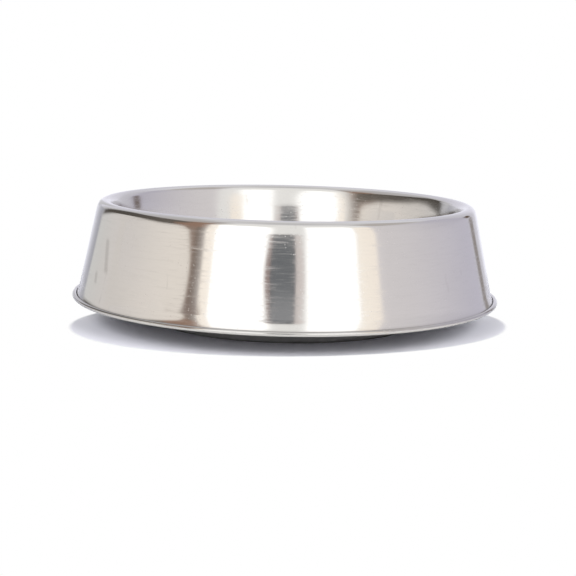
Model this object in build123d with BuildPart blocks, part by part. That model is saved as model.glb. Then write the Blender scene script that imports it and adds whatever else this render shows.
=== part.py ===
import os
from math import acos, atan2, cos, degrees, hypot, radians, sin, tan

from build123d import *

# Non-tip steel feeding bowl: a drawn steel sheet on a bonded rubber foot ring.
# The sheet is one piece in steel. Here it is two solids that meet face to face at the rim's crest.
# Sizes are millimetres and degrees. The origin is on the bowl's axis, on the floor, with +Z up.

# Steel sheet
sheet = 0.6
overall_height = 69.2
rim_crest_across = 212.0
rim_radius = 4.5
pan_wall_lean = 10.0
pan_corner_radius = 14.0
lip_radius = 70.0
lip_turn = 9.0
shoulder_radius = 30.0
shoulder_turn = 7.0
bead_across = 250.0
bead_section = 2.6
bead_clearance = 12.8
flare_radius = 30.0
flare_lean = 14.4
curl_gap = 0.4

# Rubber foot ring
pan_clearance = 15.0
foot_across = 160.0
foot_width = 20.0
foot_draft = 3.0
foot_edge_radius = 1.2
tread_grooves = 3
tread_groove_width = 2.0
tread_groove_depth = 1.2

# Adhesive between the foot ring and the pan
bond_thickness = 0.4
bond_margin = 1.5

# Middle line of the sheet: the centres and radii of its bends
pan_middle = pan_clearance + sheet / 2
corner_middle = pan_corner_radius + sheet / 2
lip_middle = lip_radius - sheet / 2
rim_middle = rim_radius - sheet / 2
shoulder_middle = shoulder_radius - sheet / 2
flare_middle = flare_radius + sheet / 2
curl_middle = (bead_section - sheet) / 2

rim_centre = (rim_crest_across / 2, overall_height - rim_radius)
curl_centre = ((bead_across - bead_section) / 2, bead_clearance + bead_section / 2)

# The skirt is a straight line. Above it the shoulder bends into the rim, and below it the flare bends
# into the bead's curl. Both bends are turned from the skirt's own lean, which the two ends decide.
span_out = curl_centre[0] - rim_centre[0]
span_up = curl_centre[1] - rim_centre[1]
shoulder_step = shoulder_middle - rim_middle
flare_step = flare_middle - curl_middle
shoulder_offset = shoulder_middle - shoulder_step * cos(radians(shoulder_turn))
flare_offset = flare_middle - flare_step * cos(radians(flare_lean))
skirt_square = acos((shoulder_offset + flare_offset) / hypot(span_out, span_up))
skirt_lean = degrees(atan2(span_up, span_out) + skirt_square)
shoulder_lean = skirt_lean + shoulder_turn
bead_lean = skirt_lean + flare_lean
shoulder_centre = (
    rim_centre[0] - shoulder_step * cos(radians(shoulder_lean)),
    rim_centre[1] - shoulder_step * sin(radians(shoulder_lean)),
)
flare_centre = (
    curl_centre[0] + flare_step * cos(radians(bead_lean)),
    curl_centre[1] + flare_step * sin(radians(bead_lean)),
)

# The pan's wall comes down from the lip under the rim, and its corner touches the wall and the pan floor
lip_lean = pan_wall_lean + lip_turn
lip_step = lip_middle - rim_middle
lip_centre = (
    rim_centre[0] + lip_step * cos(radians(lip_lean)),
    rim_centre[1] - lip_step * sin(radians(lip_lean)),
)
wall_out = cos(radians(pan_wall_lean))
wall_up = sin(radians(pan_wall_lean))
corner_height = pan_middle + corner_middle
wall_offset = lip_centre[0] * wall_out - lip_centre[1] * wall_up - lip_middle
corner_centre = ((wall_offset - corner_middle + corner_height * wall_up) / wall_out, corner_height)

# The curl stops where its cut edge comes within the gap of the flare
curl_reach = (bead_section / 2 - sheet - curl_gap) / (bead_section / 2)
curl_turn = 360 - degrees(acos(curl_reach))

# The two faces of the sheet lie half its thickness to each side of the middle line
sheet_faces = (sheet / 2, -sheet / 2)
crest_faces = [(rim_centre[0], overall_height), (rim_centre[0], overall_height - sheet)]

# Pan: floor, corner, wall, lip and the inner half of the rolled rim, up to its crest
with BuildPart() as feeding_pan:
    with BuildSketch(Plane.XZ):
        with BuildLine():
            for side in sheet_faces:
                corner = CenterArc(corner_centre, corner_middle - side, -90, 90 - pan_wall_lean)
                CenterArc(rim_centre, rim_middle + side, 90, 90 - lip_lean)
                lip = CenterArc(lip_centre, lip_middle + side, 180 - lip_lean, lip_turn)
                Line((0, pan_middle + side), corner @ 0)
                Line(corner @ 1, lip @ 1)
            Line(*crest_faces)
            Line((0, pan_clearance), (0, pan_clearance + sheet))
        make_face()
    revolve(axis=Axis.Z)
feeding_pan.part.label = "feeding_pan"

# Skirt: the outer half of the rim, the shoulder, the spreading wall, the flare and the bead's hollow curl
with BuildPart() as outer_skirt:
    with BuildSketch(Plane.XZ):
        with BuildLine():
            cut_edge = []
            for side in sheet_faces:
                CenterArc(rim_centre, rim_middle + side, shoulder_lean, 90 - shoulder_lean)
                shoulder = CenterArc(shoulder_centre, shoulder_middle + side, skirt_lean, shoulder_turn)
                flare = CenterArc(flare_centre, flare_middle - side, 180 + skirt_lean, flare_lean)
                curl = CenterArc(curl_centre, curl_middle - side, 180 + bead_lean, curl_turn)
                Line(shoulder @ 0, flare @ 0)
                cut_edge.append(curl @ 1)
            Line(*crest_faces)
            Line(*cut_edge)
        make_face()
    revolve(axis=Axis.Z)
outer_skirt.part.label = "outer_skirt"

# Moulded ring under the pan, with drafted walls, rounded tread edges and grooves in the tread
foot_height = pan_clearance - bond_thickness
foot_outer = foot_across / 2
foot_inner = foot_outer - foot_width
foot_taper = foot_height * tan(radians(foot_draft))
foot_top_outer = foot_outer - foot_taper
foot_top_inner = foot_inner + foot_taper
tread_rib_width = (foot_width - tread_grooves * tread_groove_width) / (tread_grooves + 1)

with BuildPart() as foot_ring:
    with BuildSketch(Plane.XZ):
        with BuildLine():
            Polyline(
                (foot_inner, 0),
                (foot_outer, 0),
                (foot_top_outer, foot_height),
                (foot_top_inner, foot_height),
                close=True,
            )
        make_face()
    revolve(axis=Axis.Z)
    fillet(foot_ring.edges().filter_by(GeomType.CIRCLE).group_by(Axis.Z)[0], foot_edge_radius)
    with BuildSketch():
        for groove in reversed(range(tread_grooves)):
            groove_inner = foot_inner + tread_rib_width + groove * (tread_rib_width + tread_groove_width)
            Circle(groove_inner + tread_groove_width)
            Circle(groove_inner, mode=Mode.SUBTRACT)
    extrude(amount=tread_groove_depth, mode=Mode.SUBTRACT)
foot_ring.part.label = "foot_ring"

# Adhesive film on the ring's top face, set back from both of its edges
with BuildPart() as bond_ring:
    with BuildSketch(Plane.XY.offset(foot_height)):
        Circle(foot_top_outer - bond_margin)
        Circle(foot_top_inner + bond_margin, mode=Mode.SUBTRACT)
    extrude(amount=bond_thickness)
bond_ring.part.label = "bond_ring"

os.makedirs("parts", exist_ok=True)
export_step(feeding_pan.part, "parts/feeding_pan.step")
export_step(outer_skirt.part, "parts/outer_skirt.step")
export_step(foot_ring.part, "parts/foot_ring.step")
export_step(bond_ring.part, "parts/bond_ring.step")
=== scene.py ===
from math import acos, atan2, cos, exp, hypot, pi, radians, sin, tau
from typing import NamedTuple

import bpy
from mathutils import Matrix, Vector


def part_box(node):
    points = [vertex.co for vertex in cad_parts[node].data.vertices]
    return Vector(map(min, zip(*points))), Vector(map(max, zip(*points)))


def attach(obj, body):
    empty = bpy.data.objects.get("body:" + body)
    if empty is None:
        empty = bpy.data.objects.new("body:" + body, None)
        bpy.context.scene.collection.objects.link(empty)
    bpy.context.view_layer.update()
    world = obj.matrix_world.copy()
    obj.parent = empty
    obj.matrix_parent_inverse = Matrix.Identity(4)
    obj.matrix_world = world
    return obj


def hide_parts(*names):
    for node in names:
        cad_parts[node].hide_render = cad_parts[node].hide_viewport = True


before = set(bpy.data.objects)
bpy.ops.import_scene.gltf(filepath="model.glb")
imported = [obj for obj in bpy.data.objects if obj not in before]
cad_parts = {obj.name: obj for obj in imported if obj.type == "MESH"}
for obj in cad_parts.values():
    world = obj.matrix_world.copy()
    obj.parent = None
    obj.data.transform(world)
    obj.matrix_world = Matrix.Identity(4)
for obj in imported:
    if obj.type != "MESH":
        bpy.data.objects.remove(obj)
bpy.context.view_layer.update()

# Non-tip steel feeding bowl. Lengths are metres and the origin is on the bowl's axis, on the floor.
# Azimuth 0 is towards the camera, and positive azimuths are to the right of the picture. Angles on the bowl
# run counterclockwise from +X, seen from above.

# Sizes that the frame gives
pan_low, pan_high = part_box("feeding_pan")
skirt_low, skirt_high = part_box("outer_skirt")
overall_height = pan_high[2]
rim_crest = pan_high[0]
bead_reach = skirt_high[0]
bead_clearance = skirt_low[2]
pan_clearance = pan_low[2]

# Sizes of the steel sheet's bends
sheet = 0.0006
pan_wall_lean = radians(10)
pan_corner_radius = 0.014
lip_radius = 0.070
lip_turn = radians(9)
rim_radius = 0.0045
shoulder_radius = 0.030
shoulder_turn = radians(7)
flare_radius = 0.030
flare_turn = radians(14.4)
bead_section = 0.0026
curl_gap = 0.0004

# Ripples of the drawn skirt: waves round the bowl, phase, bands up the skirt and depth
ripple_waves = (
    (3, 0.4, 0, 0.000050),
    (5, 1.9, 1, 0.000030),
    (9, 2.6, 2, 0.000012),
)

# One shallow dent at the front, by its middle, its size round and up the skirt, and its depth
dent_angle = radians(-91.5)
dent_height = 0.044
dent_size = (0.006, 0.011)
dent_depth = 0.00006

# Mesh density. A point closer to the axis than on_axis lies on it, and an edge sharper than sharp_edge
# isn't smoothed.
turn_segments = 324
line_steps = 16
arc_steps = 16
on_axis = sheet / 10
sharp_edge = radians(40)

# How dull each stretch of the sheet is left, from 0 for a mirror to 1 for a satin face
dullness = {
    "pan_floor": 0.60,
    "pan_corner": 0.55,
    "pan_wall": 0.12,
    "lip": 0.30,
    "rim": 0.05,
    "shoulder": 0.0,
    "skirt": 0.0,
    "flare": 0.10,
    "curl": 0.10,
}

# The underside is duller, as far as the curl: there it is turned out and shows as the bead
underside_dullness = 0.9
under_dullness = dict.fromkeys(dullness, underside_dullness) | {"curl": dullness["curl"]}

# From where to where the sheet turns into the bead's tight curl. The curl takes less polish than the skirt,
# and over this range its steel is also painted darker, as painted shade
bead_shade_range = (bead_reach - 1.2 * bead_section, bead_reach - 0.9 * bead_section)

# Marks that run round the bowl: turns of noise round it, lines per metre of sheet, and the noise's detail
# and roughness
turned_marks = {
    "grain": (5.0, 3200.0, 3.0, 0.7),
    "bands": (1.5, 160.0, 2.0, 0.5),
    "scoring": (9.0, 900.0, 2.0, 0.6),
    "streaks": (4.0, 1100.0, 2.0, 0.5),
}

# Noise of the other marks: its scale, or its stretch across and up the bowl
cloud_scale = 35.0
pinhole_scale = 620.0
pinhole_patch_scale = 48.0
hairline_patch_scale = 22.0
hairline_stretch = (90.0, 90.0, 26.0)
smear_stretch = (170.0, 170.0, 16.0)

# Between which values of its noise, or of the dullness, each mark fades in or out
fades = {
    "scoring": (0.42, 0.78),
    "streaks": (0.50, 0.75),
    "streak_clouds": (0.42, 0.62),
    "smears": (0.68, 0.76),
    "pinhole_size": (0.10, 0.22),
    "pinhole_choice": (0.28, 0.36),
    "pinhole_patches": (0.42, 0.56),
    "hairline_width": (0.0, 0.006),
    "hairline_patches": (0.52, 0.66),
    "hairline_dullness": (0.0, 0.3),
    "scuff_dullness": (0.0, 0.05),
    "underside": (0.7, underside_dullness),
}
least_streak = 0.15

# Two scuffs on the skirt: angle and height of the upper end and of the lower end, and half the width.
# They fade between two shares of that half width, and at their ends.
scuffs = (
    ((radians(-149.2), 0.0530), (radians(-146.0), 0.0325), radians(1.2)),
    ((radians(-152.2), 0.0345), (radians(-151.3), 0.0255), radians(1.0)),
)
scuff_edge = (0.2, 1.4)
scuff_fade = 0.003

# Tints of the clouded steel, and for each mark its strength and its own tint, in the order they are laid on
steel_tints = ((0.705, 0.695, 0.675), (0.745, 0.735, 0.715))
mark_tints = {
    "grain": (0.10, (0.58, 0.57, 0.555)),
    "scoring": (0.12, (0.56, 0.55, 0.54)),
    "smears": (0.30, (0.52, 0.505, 0.49)),
    "pinholes": (0.10, (0.46, 0.445, 0.43)),
    "scuffs": (0.55, (0.45, 0.44, 0.425)),
    # The bead's darker tint is painted shade on the curl.
    "bead": (0.60, (0.50, 0.488, 0.47)),
    # The underside's darker tint goes with its duller face, and is partly painted shade under the bowl.
    "underside": (1.00, (0.46, 0.45, 0.44)),
}

# Roughness of the best polish, and what each mark adds to it
polish_roughness = 0.045
mark_roughness = {
    "clouds": 0.03,
    "bands": 0.03,
    "dullness": 0.20,
    "pinholes": 0.22,
    "hairlines": 0.05,
    "streaks": 0.10,
    "scoring": 0.09,
    "scuffs": 0.06,
}

# Relief of the fine surfaces, and how deep hairlines, flow marks and bubbles are next to the grain
steel_relief = 0.000001
hairline_depth = 0.3
rubber_relief = 0.00005
flow_height = 0.8
adhesive_relief = 0.0001
bubble_depth = 0.7

# Rubber of the foot ring, and the dust on it
rubber_cloud_scale = 60.0
rubber_grain_scale = 1800.0
flow_stretch = (30.0, 30.0, 420.0)
rubber_tints = ((0.185, 0.181, 0.178), (0.250, 0.245, 0.240))
rubber_roughness = 0.30
rubber_clouding = 0.12
rubber_shine = 0.55
dust_scale = 240.0
dust_patches = (0.55, 0.75)
dust_tint = (0.34, 0.33, 0.315)
dust_strength = 0.30
dust_roughness = 0.2

# Adhesive under the pan, and the bubbles in it
adhesive_cloud_scale = 120.0
adhesive_tints = ((0.14, 0.13, 0.12), (0.19, 0.18, 0.165))
adhesive_roughness = 0.35
adhesive_clouding = 0.3
bubble_scale = 900.0
bubble_size = (0.10, 0.22)
bubble_tint = (0.28, 0.27, 0.25)
bubble_strength = 0.5

# Camera, as the photograph was taken
photo_pixels = 576
focal_pixels = 1296.0
camera_distance = 0.76189
camera_height = 0.14417
camera_pitch = radians(9.476)
camera_roll = radians(1.311)
camera_yaw = radians(0.133)
sensor_width = 36.0

# Light on what isn't glossy: an even sky and four broad lamps, which together light the floor at about 1.
# A lamp is its azimuth and its share of that light.
sky_radiance = (0.13, 0.13, 0.14)
lamps = {
    "left_lamp": (radians(-31), 0.36),
    "right_lamp": (radians(42), 0.38),
    "left_side_lamp": (radians(-100), 0.11),
    "right_side_lamp": (radians(100), 0.13),
}
lamp_elevation = radians(30)
lamp_width = radians(38)

# Floor, and its colours to the camera and in the steel, which mirrors the floor near the bowl only. The
# camera sees the floor's own colour only inside the shadow's oval, so its darker lilac is painted shade. The
# steel sees the floor painted brighter in front, as a painted highlight, and darker behind, as painted
# shade.
floor_reach = 3.0
floor_and_shade_colour = (0.84, 0.84, 0.925)
mirrored_front_highlight = (0.97, 0.965, 0.96)
mirrored_back_shade = (0.70, 0.70, 0.77)
mirrored_turn = (-0.10, 0.0)
mirrored_floor = (0.22, 0.32)

# The camera sees the bowl's shadow as far as an oval edge, with painted light that lifts the shadow just
# inside that edge, and as far as a softer oval behind the bowl
shadow_middle = (0.0045, -0.0239, 0.0)
shadow_reach = (0.1268, 0.0862, 1.0)
shadow_turn = radians(12.4)
shadow_edge = 0.015
painted_lift_range = (0.75, 1.0)
painted_lift_strength = 0.40
back_shadow_middle = (0.0, 0.055, 0.0)
back_shadow_reach = (0.112, 0.125, 1.0)
back_shadow_fade = (0.6, 1.0)


class Card(NamedTuple):
    """Far rounded rectangle that the steel mirrors, in degrees, and its radiance at the left and right."""

    azimuths: tuple
    elevations: tuple
    corner: float
    softness: float
    left: tuple
    right: tuple
    slant: float = 0.0


class Panel(NamedTuple):
    """Near upright panel that the steel mirrors, by the middle of its foot, and its radiance likewise."""

    foot: tuple
    width: float
    heights: tuple
    corner: float
    softness: float
    left: tuple
    right: tuple


# The room behind the cards, as elevation in degrees and radiance. Elevations span half a turn.
elevation_span = 180
room = (
    (-10, (0.96, 0.96, 1.06)),
    (0, (0.98, 0.98, 1.08)),
    (8, (0.84, 0.83, 0.93)),
    (28, (0.73, 0.72, 0.80)),
    (52, (0.88, 0.88, 0.94)),
    (70, (0.82, 0.81, 0.83)),
    (90, (0.64, 0.63, 0.64)),
)

# Cards that hang far away, the later ones in front of the earlier ones
cards = {
    "dim_left": Card(
        azimuths=(-150, -44), elevations=(-40, 66), corner=22, softness=6.0,
        left=(0.64, 0.63, 0.65), right=(0.52, 0.48, 0.46),
    ),
    "dark_left": Card(
        azimuths=(-141, -46), elevations=(-40, 36), corner=10, softness=4.0,
        left=(0.10, 0.09, 0.08), right=(0.16, 0.14, 0.12),
    ),
    "brown_gap": Card(
        azimuths=(-66, -40), elevations=(-40, 44), corner=6, softness=4.0,
        left=(0.33, 0.25, 0.205), right=(0.38, 0.275, 0.23),
    ),
    "red_bar": Card(
        azimuths=(-72, -41), elevations=(21, 46), corner=6, softness=4.0,
        left=(0.36, 0.225, 0.165), right=(0.36, 0.235, 0.18),
    ),
    "gap_line": Card(
        azimuths=(-54.5, -48.5), elevations=(-40, 22), corner=1.4, softness=1.2,
        left=(0.26, 0.205, 0.175), right=(0.26, 0.205, 0.175),
    ),
    "edge_left": Card(
        azimuths=(-166, -142), elevations=(-40, 8), corner=2, softness=2.0,
        left=(0.84, 0.84, 0.92), right=(0.44, 0.44, 0.49),
    ),
    "beige_low": Card(
        azimuths=(-144, -110), elevations=(-60, 8.5), corner=5, softness=1.6,
        left=(0.74, 0.735, 0.725), right=(0.82, 0.78, 0.76), slant=0.5,
    ),
    "beige_left": Card(
        azimuths=(-114.5, -63.5), elevations=(-60, 18.2), corner=7, softness=1.6,
        left=(0.81, 0.77, 0.74), right=(0.98, 0.91, 0.855), slant=0.09,
    ),
    "front_glow": Card(
        azimuths=(-48, 58), elevations=(-40, 68), corner=10, softness=6.0,
        left=(1.04, 1.03, 1.01), right=(1.03, 1.02, 1.01),
    ),
    "dim_back": Card(
        azimuths=(110, 157), elevations=(-40, 36), corner=8, softness=6.0,
        left=(0.62, 0.60, 0.66), right=(0.70, 0.69, 0.76),
    ),
    "lilac_right": Card(
        azimuths=(53, 138), elevations=(-40, 42), corner=5, softness=3.0,
        left=(0.87, 0.83, 0.85), right=(0.64, 0.62, 0.72),
    ),
    "lilac_top": Card(
        azimuths=(56, 134), elevations=(10, 42), corner=5, softness=5.0,
        left=(0.82, 0.785, 0.805), right=(0.59, 0.57, 0.665),
    ),
    "dim_right": Card(
        azimuths=(64, 126), elevations=(43, 66), corner=6, softness=5.0,
        left=(0.58, 0.54, 0.52), right=(0.60, 0.57, 0.56),
    ),
}

# Panels that stand close, so that the pan and the skirt mirror them from different places.
# At azimuth 0 their left and right are the picture's.
panels = {
    "fringe": Panel(
        foot=(-0.003, -0.752), width=0.262, heights=(0.168, 0.281), corner=0.052, softness=0.014,
        left=(0.37, 0.28, 0.26), right=(0.85, 0.78, 0.76),
    ),
    "slate": Panel(
        foot=(-0.0155, -0.745), width=0.159, heights=(0.172, 0.274), corner=0.022, softness=0.006,
        left=(0.170, 0.180, 0.195), right=(0.180, 0.190, 0.205),
    ),
    "slate_low": Panel(
        foot=(-0.0155, -0.740), width=0.150, heights=(-0.3, 0.205), corner=0.030, softness=0.025,
        left=(0.335, 0.34, 0.355), right=(0.335, 0.34, 0.355),
    ),
    "right_strip": Panel(
        foot=(0.403, 0.360), width=0.064, heights=(-0.2, 0.100), corner=0.010, softness=0.012,
        left=(0.33, 0.30, 0.29), right=(0.33, 0.30, 0.29),
    ),
    "right_post": Panel(
        foot=(0.634, 0.631), width=0.125, heights=(0.155, 0.300), corner=0.030, softness=0.025,
        left=(0.13, 0.085, 0.05), right=(0.11, 0.07, 0.04),
    ),
    "pale_post": Panel(
        foot=(-0.2525, 0.4355), width=0.085, heights=(0.070, 0.250), corner=0.010, softness=0.008,
        left=(0.68, 0.675, 0.71), right=(0.60, 0.595, 0.62),
    ),
    "dark_hood": Panel(
        foot=(-0.402, -0.004), width=0.510, heights=(0.250, 0.390), corner=0.030, softness=0.030,
        left=(0.10, 0.09, 0.08), right=(0.16, 0.14, 0.12),
    ),
    "beige_low_panel": Panel(
        foot=(-0.350, -0.119), width=0.331, heights=(0.066, 0.142), corner=0.036, softness=0.008,
        left=(0.82, 0.78, 0.76), right=(1.00, 0.93, 0.86),
    ),
    "gap_root": Panel(
        foot=(-0.504, -0.409), width=0.224, heights=(-0.3, 0.140), corner=0.020, softness=0.012,
        left=(0.33, 0.27, 0.24), right=(0.29, 0.225, 0.20),
    ),
    "beige_edge": Panel(
        foot=(-1.442, -0.639), width=0.494, heights=(-0.8, 0.610), corner=0.200, softness=0.040,
        left=(0.93, 0.875, 0.83), right=(1.00, 0.93, 0.86),
    ),
    "cream_left": Panel(
        foot=(-0.495, -0.977), width=0.744, heights=(-0.8, 0.850), corner=0.300, softness=0.020,
        left=(1.28, 1.185, 1.08), right=(1.28, 1.185, 1.08),
    ),
    "white_left": Panel(
        foot=(-0.457, -0.985), width=0.670, heights=(-0.8, 0.890), corner=0.300, softness=0.060,
        left=(1.58, 1.58, 1.58), right=(1.58, 1.58, 1.58),
    ),
    "white_right": Panel(
        foot=(0.340, -0.740), width=0.406, heights=(-0.8, 0.750), corner=0.100, softness=0.025,
        left=(1.58, 1.58, 1.58), right=(1.58, 1.58, 1.58),
    ),
    "cream_right": Panel(
        foot=(0.304, -0.343), width=0.084, heights=(-0.3, 0.340), corner=0.030, softness=0.010,
        left=(1.24, 1.15, 1.04), right=(1.20, 1.10, 1.00),
    ),
}


def eased(count):
    """Steps from 0 to 1 that crowd towards both ends."""
    return [(1 - cos(pi * step / count)) / 2 for step in range(count + 1)]


def line(start, end):
    """Points along a straight stretch of a profile."""
    return [
        (start[0] + (end[0] - start[0]) * step, start[1] + (end[1] - start[1]) * step)
        for step in eased(line_steps)
    ]


def arc(centre, radius, start, turn):
    """Points along a round stretch of a profile."""
    return [
        (centre[0] + radius * cos(start + turn * step), centre[1] + radius * sin(start + turn * step))
        for step in eased(arc_steps)
    ]


class SheetProfile:
    """Half section of the drawn sheet, from the pan's middle to the cut edge, as (radius, height)."""

    def __init__(self):
        self.pan_middle = pan_clearance + sheet / 2
        self.corner_middle = pan_corner_radius + sheet / 2
        self.lip_middle = lip_radius - sheet / 2
        self.rim_middle = rim_radius - sheet / 2
        self.shoulder_middle = shoulder_radius - sheet / 2
        self.flare_middle = flare_radius + sheet / 2
        self.curl_middle = (bead_section - sheet) / 2
        self.rim_centre = (rim_crest, overall_height - rim_radius)
        self.curl_centre = (bead_reach - bead_section / 2, bead_clearance + bead_section / 2)
        self.place_skirt()
        self.place_wall()
        curl_reach = (bead_section / 2 - sheet - curl_gap) / (bead_section / 2)
        self.curl_turn = tau - acos(curl_reach)

    def place_skirt(self):
        """The skirt is the straight line from the shoulder under the rim to the flare above the curl."""
        out = self.curl_centre[0] - self.rim_centre[0]
        up = self.curl_centre[1] - self.rim_centre[1]
        shoulder_step = self.shoulder_middle - self.rim_middle
        flare_step = self.flare_middle - self.curl_middle
        reach = self.shoulder_middle + self.flare_middle
        reach -= shoulder_step * cos(shoulder_turn) + flare_step * cos(flare_turn)
        self.skirt_lean = atan2(up, out) + acos(reach / hypot(out, up))
        self.shoulder_lean = self.skirt_lean + shoulder_turn
        self.flare_lean = self.skirt_lean + flare_turn
        self.shoulder_centre = (
            self.rim_centre[0] - shoulder_step * cos(self.shoulder_lean),
            self.rim_centre[1] - shoulder_step * sin(self.shoulder_lean),
        )
        self.flare_centre = (
            self.curl_centre[0] + flare_step * cos(self.flare_lean),
            self.curl_centre[1] + flare_step * sin(self.flare_lean),
        )

    def place_wall(self):
        """The pan's wall comes down from the lip under the rim, and its corner touches the pan floor."""
        lip_step = self.lip_middle - self.rim_middle
        self.lip_lean = pan_wall_lean + lip_turn
        self.lip_centre = (
            self.rim_centre[0] + lip_step * cos(self.lip_lean),
            self.rim_centre[1] - lip_step * sin(self.lip_lean),
        )
        wall_out = cos(pan_wall_lean)
        wall_up = sin(pan_wall_lean)
        height = self.pan_middle + self.corner_middle
        offset = self.lip_centre[0] * wall_out - self.lip_centre[1] * wall_up - self.lip_middle
        self.corner_centre = ((offset - self.corner_middle + height * wall_up) / wall_out, height)

    def face(self, side):
        """Stretches of the face that lies side from the middle line, by name."""
        corner = arc(self.corner_centre, self.corner_middle - side, -pi / 2, pi / 2 - pan_wall_lean)
        lip = arc(self.lip_centre, self.lip_middle + side, pi - pan_wall_lean, -lip_turn)
        rim_turn = pi - self.lip_lean - self.shoulder_lean
        rim = arc(self.rim_centre, self.rim_middle + side, pi - self.lip_lean, -rim_turn)
        shoulder = arc(self.shoulder_centre, self.shoulder_middle + side, self.shoulder_lean, -shoulder_turn)
        flare = arc(self.flare_centre, self.flare_middle - side, pi + self.skirt_lean, flare_turn)
        curl = arc(self.curl_centre, self.curl_middle - side, pi + self.flare_lean, self.curl_turn)
        return {
            "pan_floor": line((0, self.pan_middle + side), corner[0]),
            "pan_corner": corner,
            "pan_wall": line(corner[-1], lip[0]),
            "lip": lip,
            "rim": rim,
            "shoulder": shoulder,
            "skirt": line(shoulder[-1], flare[0]),
            "flare": flare,
            "curl": curl,
        }


def joined(stretches, dull):
    """One list of (radius, height, ripple share, dullness), with each shared end kept once."""
    points = []
    for name, stretch in stretches.items():
        shares = [sin(pi * step) ** 2 if name == "skirt" else 0 for step in eased(len(stretch) - 1)]
        ring = [(*point, share, dull[name]) for point, share in zip(stretch, shares)]
        points += ring[1:] if points else ring
    return points


def ripple(angle, height):
    """How far the drawn skirt stands off a true cone: long waves and one shallow dent."""
    level = (height - bead_clearance) / (overall_height - bead_clearance)
    depth = sum(
        deep * sin(waves * angle + phase) * cos(pi * bands * level)
        for waves, phase, bands, deep in ripple_waves
    )
    away = (angle - dent_angle + pi) % tau - pi
    across = away * bead_reach / dent_size[0]
    along = (height - dent_height) / dent_size[1]
    return depth - dent_depth * exp(-(across ** 2 + along ** 2) / 2)


def new_object(name, data):
    """Object with that data, in the scene."""
    made = bpy.data.objects.new(name, data)
    bpy.context.scene.collection.objects.link(made)
    return made


def flat_mesh(name, corners):
    """Mesh of one flat face."""
    mesh = bpy.data.meshes.new(name)
    mesh.from_pydata(corners, [], [tuple(range(len(corners)))])
    return mesh


def lathe(name, profile):
    """Closed mesh turned from a profile that starts and ends on the axis, with its finish at each point."""
    vertices = []
    rings = []
    travelled = []
    finishes = []
    travel = 0
    before = profile[0]
    for radius, height, share, finish in profile:
        travel += hypot(radius - before[0], height - before[1])
        before = (radius, height)
        copies = 1 if radius < on_axis else turn_segments
        first = len(vertices)
        rings.append([first + segment % copies for segment in range(turn_segments)])
        travelled += [travel] * copies
        finishes += [finish] * copies
        for segment in range(copies):
            angle = tau * segment / turn_segments
            reach = radius + share * ripple(angle, height) if share else radius
            vertices.append((reach * cos(angle), reach * sin(angle), height))
    faces = []
    for lower, upper in zip(rings, rings[1:]):
        for segment in range(turn_segments):
            after = (segment + 1) % turn_segments
            corners = [lower[segment], upper[segment], upper[after], lower[after]]
            faces.append(list(dict.fromkeys(corners)))
    mesh = bpy.data.meshes.new(name)
    mesh.from_pydata(vertices, [], faces)
    for label, values in (("travel", travelled), ("finish", finishes)):
        mesh.attributes.new(label, "FLOAT", "POINT").data.foreach_set("value", values)
    mesh.validate()
    mesh.shade_smooth()
    mesh.set_sharp_from_angle(angle=sharp_edge)
    return new_object(name, mesh)


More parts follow.
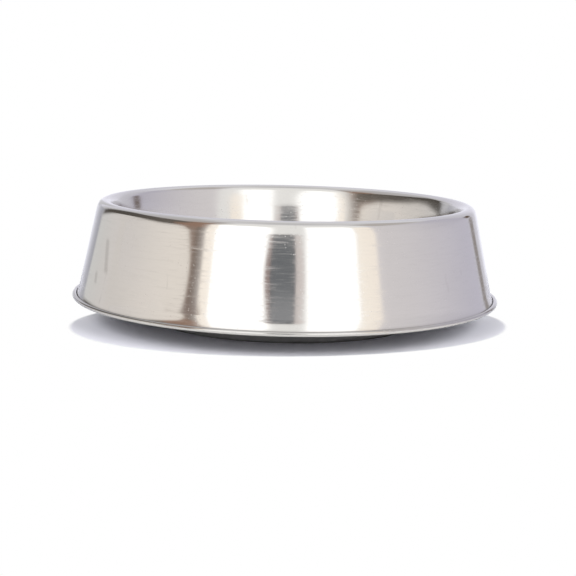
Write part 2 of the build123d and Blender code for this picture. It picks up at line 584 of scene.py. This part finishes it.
class Nodes:
    """Adds nodes to one tree and links them. An input is another node's output, a number or a tuple."""

    # Sockets of a Mix node that mixes colours: its factor and its two colours, and the mix
    mix_inputs = (0, 6, 7)
    mix_output = 2

    def __init__(self, tree):
        self.tree = tree
        tree.nodes.clear()

    def add(self, kind, inputs=None, **settings):
        """A node of that kind, with its settings and its inputs by name or number."""
        made = self.tree.nodes.new(kind)
        for key, value in settings.items():
            setattr(made, key, value)
        for key, value in (inputs or {}).items():
            self.feed(made.inputs[key], value)
        return made

    def feed(self, socket, value):
        """Links an output to the socket, or sets the socket's own value. A colour is red, green and blue."""
        if isinstance(value, bpy.types.NodeSocket):
            self.tree.links.new(value, socket)
        elif socket.type == "RGBA":
            socket.default_value = (*value, 1)
        else:
            socket.default_value = value

    def math(self, operation, *values):
        """Output of a Math node."""
        return self.add("ShaderNodeMath", dict(enumerate(values)), operation=operation).outputs[0]

    def product(self, first, *others):
        """All the values multiplied."""
        for other in others:
            first = self.math("MULTIPLY", first, other)
        return first

    def vector(self, operation, *values):
        """Vector output of a Vector Math node."""
        return self.add("ShaderNodeVectorMath", dict(enumerate(values)), operation=operation).outputs[0]

    def length(self, vector):
        """Length of a vector."""
        return self.add("ShaderNodeVectorMath", {0: vector}, operation="LENGTH").outputs["Value"]

    def combine(self, x, y, z):
        """Vector from three numbers."""
        return self.add("ShaderNodeCombineXYZ", {0: x, 1: y, 2: z}).outputs[0]

    def split(self, vector):
        """The three numbers of a vector."""
        return self.add("ShaderNodeSeparateXYZ", {0: vector}).outputs

    def mix(self, factor, first, second):
        """Mix of two colours."""
        inputs = dict(zip(self.mix_inputs, (factor, first, second)))
        return self.add("ShaderNodeMix", inputs, data_type="RGBA").outputs[self.mix_output]

    def coordinates(self, kind):
        """Place or direction of the point that is shaded."""
        return self.add("ShaderNodeTexCoord").outputs[kind]

    def attribute(self, name):
        """Number that the mesh keeps at each point."""
        return self.add("ShaderNodeAttribute", attribute_name=name).outputs["Fac"]

    def remap(self, value, low, high, to_low, to_high):
        """Value from one range to another, smooth at both ends."""
        inputs = {0: value, 1: low, 2: high, 3: to_low, 4: to_high}
        return self.add("ShaderNodeMapRange", inputs, interpolation_type="SMOOTHSTEP").outputs[0]

    def rising(self, value, low, high):
        """0 up to low and 1 from high, smooth between them."""
        return self.remap(value, low, high, 0.0, 1.0)

    def falling(self, value, low, high):
        """1 up to low and 0 from high, smooth between them."""
        return self.remap(value, low, high, 1.0, 0.0)

    def noise(self, vector, scale=1.0, detail=2.0, roughness=0.5):
        """Value of a noise texture, from 0 to 1."""
        inputs = {"Vector": vector, "Scale": scale, "Detail": detail, "Roughness": roughness}
        return self.add("ShaderNodeTexNoise", inputs).outputs["Fac"]

    def cells(self, vector, scale):
        """Distance and Color outputs of a cell texture."""
        return self.add("ShaderNodeTexVoronoi", {"Vector": vector, "Scale": scale}).outputs

    def bump(self, height, distance):
        """Normal that follows a relief of that depth."""
        return self.add("ShaderNodeBump", {"Height": height, "Distance": distance}).outputs[0]


def new_material(name):
    """Empty node material and its nodes."""
    material = bpy.data.materials.new(name)
    material.use_nodes = True
    return material, Nodes(material.node_tree)


def new_surface(name):
    """Node material, its nodes, its shader and the place on the object."""
    material, nodes = new_material(name)
    shader = nodes.add("ShaderNodeBsdfPrincipled")
    nodes.add("ShaderNodeOutputMaterial", {"Surface": shader.outputs[0]})
    return material, nodes, shader, nodes.coordinates("Object")


def scuff_mask(nodes, angle, height):
    """1 on the skirt's scuffs and 0 beside them, with faded ends."""
    scuffed = 0.0
    for upper, lower, reach in scuffs:
        slope = (upper[0] - lower[0]) / (upper[1] - lower[1])
        middle = nodes.math("MULTIPLY_ADD", height, slope, lower[0] - slope * lower[1])
        away = nodes.math("ABSOLUTE", nodes.math("SUBTRACT", angle, middle))
        mark = nodes.product(
            nodes.falling(away, scuff_edge[0] * reach, scuff_edge[1] * reach),
            nodes.falling(height, upper[1] - scuff_fade, upper[1]),
            nodes.rising(height, lower[1], lower[1] + scuff_fade),
        )
        scuffed = nodes.math("MAXIMUM", mark, scuffed)
    return scuffed


def steel_marks(nodes, position):
    """Strength of each mark on the steel, from 0 to 1, by name."""
    travel = nodes.attribute("travel")
    finish = nodes.attribute("finish")
    polish = nodes.math("SUBTRACT", 1.0, finish)
    x, y, z = nodes.split(position)
    outward = nodes.combine(x, y, 0.0)
    heading = nodes.vector("NORMALIZE", outward)

    def turned(mark):
        """Noise of a mark that runs round the bowl."""
        turns, lines, detail, roughness = turned_marks[mark]
        along = nodes.combine(0.0, 0.0, nodes.math("MULTIPLY", travel, lines))
        place = nodes.vector("MULTIPLY_ADD", heading, (turns, turns, 0.0), along)
        return nodes.noise(place, detail=detail, roughness=roughness)

    clouds = nodes.noise(position, cloud_scale, detail=3.0)
    holes = nodes.cells(position, pinhole_scale)
    pitted = nodes.noise(position, pinhole_patch_scale)
    rubbed = nodes.noise(position, hairline_patch_scale)
    wander = nodes.noise(nodes.vector("MULTIPLY", position, hairline_stretch), detail=1.0)
    off_line = nodes.math("ABSOLUTE", nodes.math("SUBTRACT", wander, 0.5))
    smeared = nodes.noise(nodes.vector("MULTIPLY", position, smear_stretch))
    return {
        "clouds": clouds,
        "dullness": finish,
        "grain": turned("grain"),
        "bands": turned("bands"),
        "scoring": nodes.product(nodes.rising(turned("scoring"), *fades["scoring"]), polish),
        "streaks": nodes.product(
            nodes.rising(turned("streaks"), *fades["streaks"]),
            nodes.remap(clouds, *fades["streak_clouds"], least_streak, 1.0),
            polish,
        ),
        "smears": nodes.rising(smeared, *fades["smears"]),
        "pinholes": nodes.product(
            nodes.falling(holes["Distance"], *fades["pinhole_size"]),
            nodes.rising(nodes.split(holes["Color"])[0], *fades["pinhole_choice"]),
            nodes.rising(pitted, *fades["pinhole_patches"]),
        ),
        "hairlines": nodes.product(
            nodes.falling(off_line, *fades["hairline_width"]),
            nodes.rising(rubbed, *fades["hairline_patches"]),
            nodes.falling(finish, *fades["hairline_dullness"]),
        ),
        "scuffs": nodes.product(
            scuff_mask(nodes, nodes.math("ARCTAN2", y, x), z),
            nodes.falling(finish, *fades["scuff_dullness"]),
        ),
        # Painted shade: where the steel is tinted darker on the bead.
        "bead": nodes.rising(nodes.length(outward), *bead_shade_range),
        # Partly painted shade: the dull underside is tinted darker.
        "underside": nodes.rising(finish, *fades["underside"]),
    }


def polished_steel():
    """Buffed sheet: turned grain, clouds and bands in the shine, pinholes, hairlines, smears and scuffs, and
    painted shade on the bead and the underside.
    """
    material, nodes, shader, position = new_surface("polished_steel")
    marks = steel_marks(nodes, position)
    colour = nodes.mix(marks["clouds"], *steel_tints)
    for mark, (strength, tint) in mark_tints.items():
        colour = nodes.mix(nodes.math("MULTIPLY", marks[mark], strength), colour, tint)
    roughness = polish_roughness
    for mark, added in mark_roughness.items():
        roughness = nodes.math("MULTIPLY_ADD", marks[mark], added, roughness)
    relief = nodes.math("MULTIPLY_ADD", marks["hairlines"], -hairline_depth, marks["grain"])
    nodes.feed(shader.inputs["Base Color"], colour)
    nodes.feed(shader.inputs["Metallic"], 1.0)
    nodes.feed(shader.inputs["Roughness"], roughness)
    nodes.feed(shader.inputs["Normal"], nodes.bump(relief, steel_relief))
    return material


def foot_rubber():
    """Moulded dark rubber: a fine grain, flow marks round the ring, and dust that lies in patches."""
    material, nodes, shader, position = new_surface("foot_rubber")
    clouds = nodes.noise(position, rubber_cloud_scale, detail=4.0)
    grain = nodes.noise(position, rubber_grain_scale)
    flow = nodes.noise(nodes.vector("MULTIPLY", position, flow_stretch))
    dust = nodes.rising(nodes.noise(position, dust_scale, detail=5.0, roughness=0.7), *dust_patches)
    colour = nodes.mix(clouds, *rubber_tints)
    colour = nodes.mix(nodes.math("MULTIPLY", dust, dust_strength), colour, dust_tint)
    roughness = nodes.math("MULTIPLY_ADD", clouds, rubber_clouding, rubber_roughness)
    roughness = nodes.math("MULTIPLY_ADD", dust, dust_roughness, roughness)
    relief = nodes.math("MULTIPLY_ADD", flow, flow_height, grain)
    nodes.feed(shader.inputs["Base Color"], colour)
    nodes.feed(shader.inputs["Roughness"], roughness)
    nodes.feed(shader.inputs["Specular IOR Level"], rubber_shine)
    nodes.feed(shader.inputs["Normal"], nodes.bump(relief, rubber_relief))
    return material


def adhesive():
    """Cured grey adhesive, uneven and with small bubbles."""
    material, nodes, shader, position = new_surface("adhesive")
    clouds = nodes.noise(position, adhesive_cloud_scale, detail=3.0)
    bubbles = nodes.falling(nodes.cells(position, bubble_scale)["Distance"], *bubble_size)
    colour = nodes.mix(clouds, *adhesive_tints)
    colour = nodes.mix(nodes.math("MULTIPLY", bubbles, bubble_strength), colour, bubble_tint)
    roughness = nodes.math("MULTIPLY_ADD", clouds, adhesive_clouding, adhesive_roughness)
    relief = nodes.math("MULTIPLY_ADD", bubbles, -bubble_depth, clouds)
    nodes.feed(shader.inputs["Base Color"], colour)
    nodes.feed(shader.inputs["Roughness"], roughness)
    nodes.feed(shader.inputs["Normal"], nodes.bump(relief, adhesive_relief))
    return material


def rounded_mask(nodes, place, across, up, corner, softness, slant=0.0):
    """1 inside a rounded rectangle and 0 outside it. A slanted one rises to the right."""
    middle = ((across[0] + across[1]) / 2, (up[0] + up[1]) / 2, 0)
    inner = ((across[1] - across[0]) / 2 - corner, (up[1] - up[0]) / 2 - corner, 0)
    local = nodes.vector("SUBTRACT", place, middle)
    if slant:
        x, y, _ = nodes.split(local)
        local = nodes.combine(x, nodes.math("MULTIPLY_ADD", x, -slant, y), 0.0)
    outside = nodes.vector("SUBTRACT", nodes.vector("ABSOLUTE", local), inner)
    gap = nodes.length(nodes.vector("MAXIMUM", outside, (0, 0, 0)))
    return nodes.falling(gap, corner - softness, corner + softness)


def studio_world():
    """White to the camera, the room and its cards to the steel, and an even sky to what isn't glossy."""
    world = bpy.data.worlds.new("studio")
    bpy.context.scene.world = world
    world.use_nodes = True
    nodes = Nodes(world.node_tree)
    x, y, z = nodes.split(nodes.coordinates("Generated"))
    azimuth = nodes.math("DEGREES", nodes.math("ARCTAN2", x, nodes.math("MULTIPLY", y, -1.0)))
    elevation = nodes.math("DEGREES", nodes.math("ARCSINE", z))
    place = nodes.combine(azimuth, elevation, 0.0)

    level = nodes.math("MULTIPLY_ADD", elevation, 1 / elevation_span, 0.5)
    ramp = nodes.add("ShaderNodeValToRGB", {0: level})
    stops = ramp.color_ramp.elements
    while len(stops) < len(room):
        stops.new(0.5)
    for stop, (height, radiance) in zip(stops, room):
        stop.position = height / elevation_span + 0.5
        stop.color = (*radiance, 1)
    colour = ramp.outputs[0]
    for card in cards.values():
        mask = rounded_mask(
            nodes, place, card.azimuths, card.elevations, card.corner, card.softness, card.slant
        )
        share = nodes.rising(azimuth, *card.azimuths)
        colour = nodes.mix(mask, colour, nodes.mix(share, card.left, card.right))

    path = nodes.add("ShaderNodeLightPath")
    seen = nodes.mix(path.outputs["Is Glossy Ray"], sky_radiance, colour)
    seen = nodes.mix(path.outputs["Is Camera Ray"], seen, (1, 1, 1))
    background = nodes.add("ShaderNodeBackground", {"Color": seen, "Strength": 1.0})
    nodes.add("ShaderNodeOutputWorld", {"Surface": background.outputs[0]})


def standing_panel(name, form):
    """Upright panel with soft edges that faces the bowl. Only the steel mirrors it."""
    sides = (-form.width / 2, form.width / 2)
    left, right = (sides[0] - form.softness, sides[1] + form.softness)
    low, high = (form.heights[0] - form.softness, form.heights[1] + form.softness)
    mesh = flat_mesh(name, [(left, 0, low), (right, 0, low), (right, 0, high), (left, 0, high)])
    panel = new_object(name, mesh)
    panel.location = (*form.foot, 0)
    panel.rotation_euler = (0, 0, atan2(form.foot[0], -form.foot[1]))
    material, nodes = new_material(name)
    across, _, up = nodes.split(nodes.coordinates("Object"))
    place = nodes.combine(across, up, 0.0)
    mask = rounded_mask(nodes, place, sides, form.heights, form.corner, form.softness)
    radiance = nodes.mix(nodes.rising(across, *sides), form.left, form.right)
    glow = nodes.add("ShaderNodeEmission", {"Color": radiance})
    clear = nodes.add("ShaderNodeBsdfTransparent")
    both = nodes.add("ShaderNodeMixShader", {0: mask, 1: clear.outputs[0], 2: glow.outputs[0]})
    nodes.add("ShaderNodeOutputMaterial", {"Surface": both.outputs[0]})
    mesh.materials.append(material)
    panel.visible_camera = False
    panel.visible_diffuse = False
    panel.visible_transmission = False
    panel.visible_volume_scatter = False
    panel.visible_shadow = False


def shadowless(nodes, position):
    """0 on the floor where the bowl's shadow is kept, and 1 further out. Just inside the oval's edge some
    white is mixed in, as painted light.
    """
    from_middle = nodes.vector("SUBTRACT", position, shadow_middle)
    rotation = {"Vector": from_middle, "Angle": -shadow_turn}
    turned = nodes.add("ShaderNodeVectorRotate", rotation, rotation_type="Z_AXIS").outputs[0]
    oval = nodes.length(nodes.vector("DIVIDE", turned, shadow_reach))
    outside = nodes.rising(oval, 1 - shadow_edge, 1 + shadow_edge)
    # Painted light: white mixed into the shadow just inside its edge lifts it.
    painted_lift = nodes.remap(oval, *painted_lift_range, 0.0, painted_lift_strength)
    outside = nodes.math("MAXIMUM", outside, nodes.math("MULTIPLY", painted_lift, painted_lift))
    from_back = nodes.vector("SUBTRACT", position, back_shadow_middle)
    back_oval = nodes.length(nodes.vector("DIVIDE", from_back, back_shadow_reach))
    return nodes.product(outside, nodes.rising(back_oval, *back_shadow_fade))


def studio_floor():
    """Pale floor that keeps the bowl's shadow. Further out it is white to the camera, clear to the steel."""
    corners = [(x * floor_reach, y * floor_reach, 0) for x, y in ((-1, -1), (1, -1), (1, 1), (-1, 1))]
    mesh = flat_mesh("floor", corners)
    floor = new_object("floor", mesh)
    material, nodes = new_material("pale_floor")
    position = nodes.coordinates("Object")
    path = nodes.add("ShaderNodeLightPath").outputs
    white = nodes.product(shadowless(nodes, position), path["Is Camera Ray"])
    # The floor in the steel is painted: a painted highlight in front, painted shade behind.
    behind = nodes.rising(nodes.split(position)[1], *mirrored_turn)
    painted_floor_reflection = nodes.mix(behind, mirrored_front_highlight, mirrored_back_shade)
    colour = nodes.mix(path["Is Glossy Ray"], floor_and_shade_colour, painted_floor_reflection)
    matt = nodes.add("ShaderNodeBsdfDiffuse", {"Color": colour})
    bright = nodes.add("ShaderNodeEmission", {"Strength": 1.0})
    shown = nodes.add("ShaderNodeMixShader", {0: white, 1: matt.outputs[0], 2: bright.outputs[0]})
    past = nodes.product(nodes.rising(nodes.length(position), *mirrored_floor), path["Is Glossy Ray"])
    clear = nodes.add("ShaderNodeBsdfTransparent")
    seen = nodes.add("ShaderNodeMixShader", {0: past, 1: shown.outputs[0], 2: clear.outputs[0]})
    nodes.add("ShaderNodeOutputMaterial", {"Surface": seen.outputs[0]})
    mesh.materials.append(material)


def broad_lamp(name, azimuth, share):
    """Broad lamp above the bowl. The studio's white panels stand for it in the steel."""
    light = bpy.data.lights.new(name, "SUN")
    light.angle = lamp_width
    light.energy = pi * share / sin(lamp_elevation)
    lamp = new_object(name, light)
    lamp.rotation_euler = (pi / 2 - lamp_elevation, 0, azimuth)
    lamp.visible_glossy = False


def photo_camera():
    """Camera at the photograph's viewing angle."""
    lens = bpy.data.cameras.new("camera")
    lens.sensor_width = sensor_width
    lens.lens = focal_pixels * sensor_width / photo_pixels
    camera = new_object("camera", lens)
    camera.matrix_world = (
        Matrix.Translation((0, -camera_distance, camera_height))
        @ Matrix.Rotation(-camera_yaw, 4, "Z")
        @ Matrix.Rotation(pi / 2 - camera_pitch, 4, "X")
        @ Matrix.Rotation(camera_roll, 4, "Z")
    )
    bpy.context.scene.camera = camera


bpy.context.scene.view_settings.view_transform = "Standard"
photo_camera()
studio_world()
studio_floor()
for name, form in panels.items():
    standing_panel(name, form)
for name, lamp in lamps.items():
    broad_lamp(name, *lamp)

profile = SheetProfile()
show_face = joined(profile.face(sheet / 2), dullness)
under_face = joined(profile.face(-sheet / 2), under_dullness)
steel_sheet = lathe("steel_sheet", show_face + under_face[::-1])
steel_sheet.data.materials.append(polished_steel())
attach(steel_sheet, "root")
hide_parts("feeding_pan", "outer_skirt")

for node, material in (("foot_ring", foot_rubber()), ("bond_ring", adhesive())):
    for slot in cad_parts[node].material_slots:
        slot.material = material
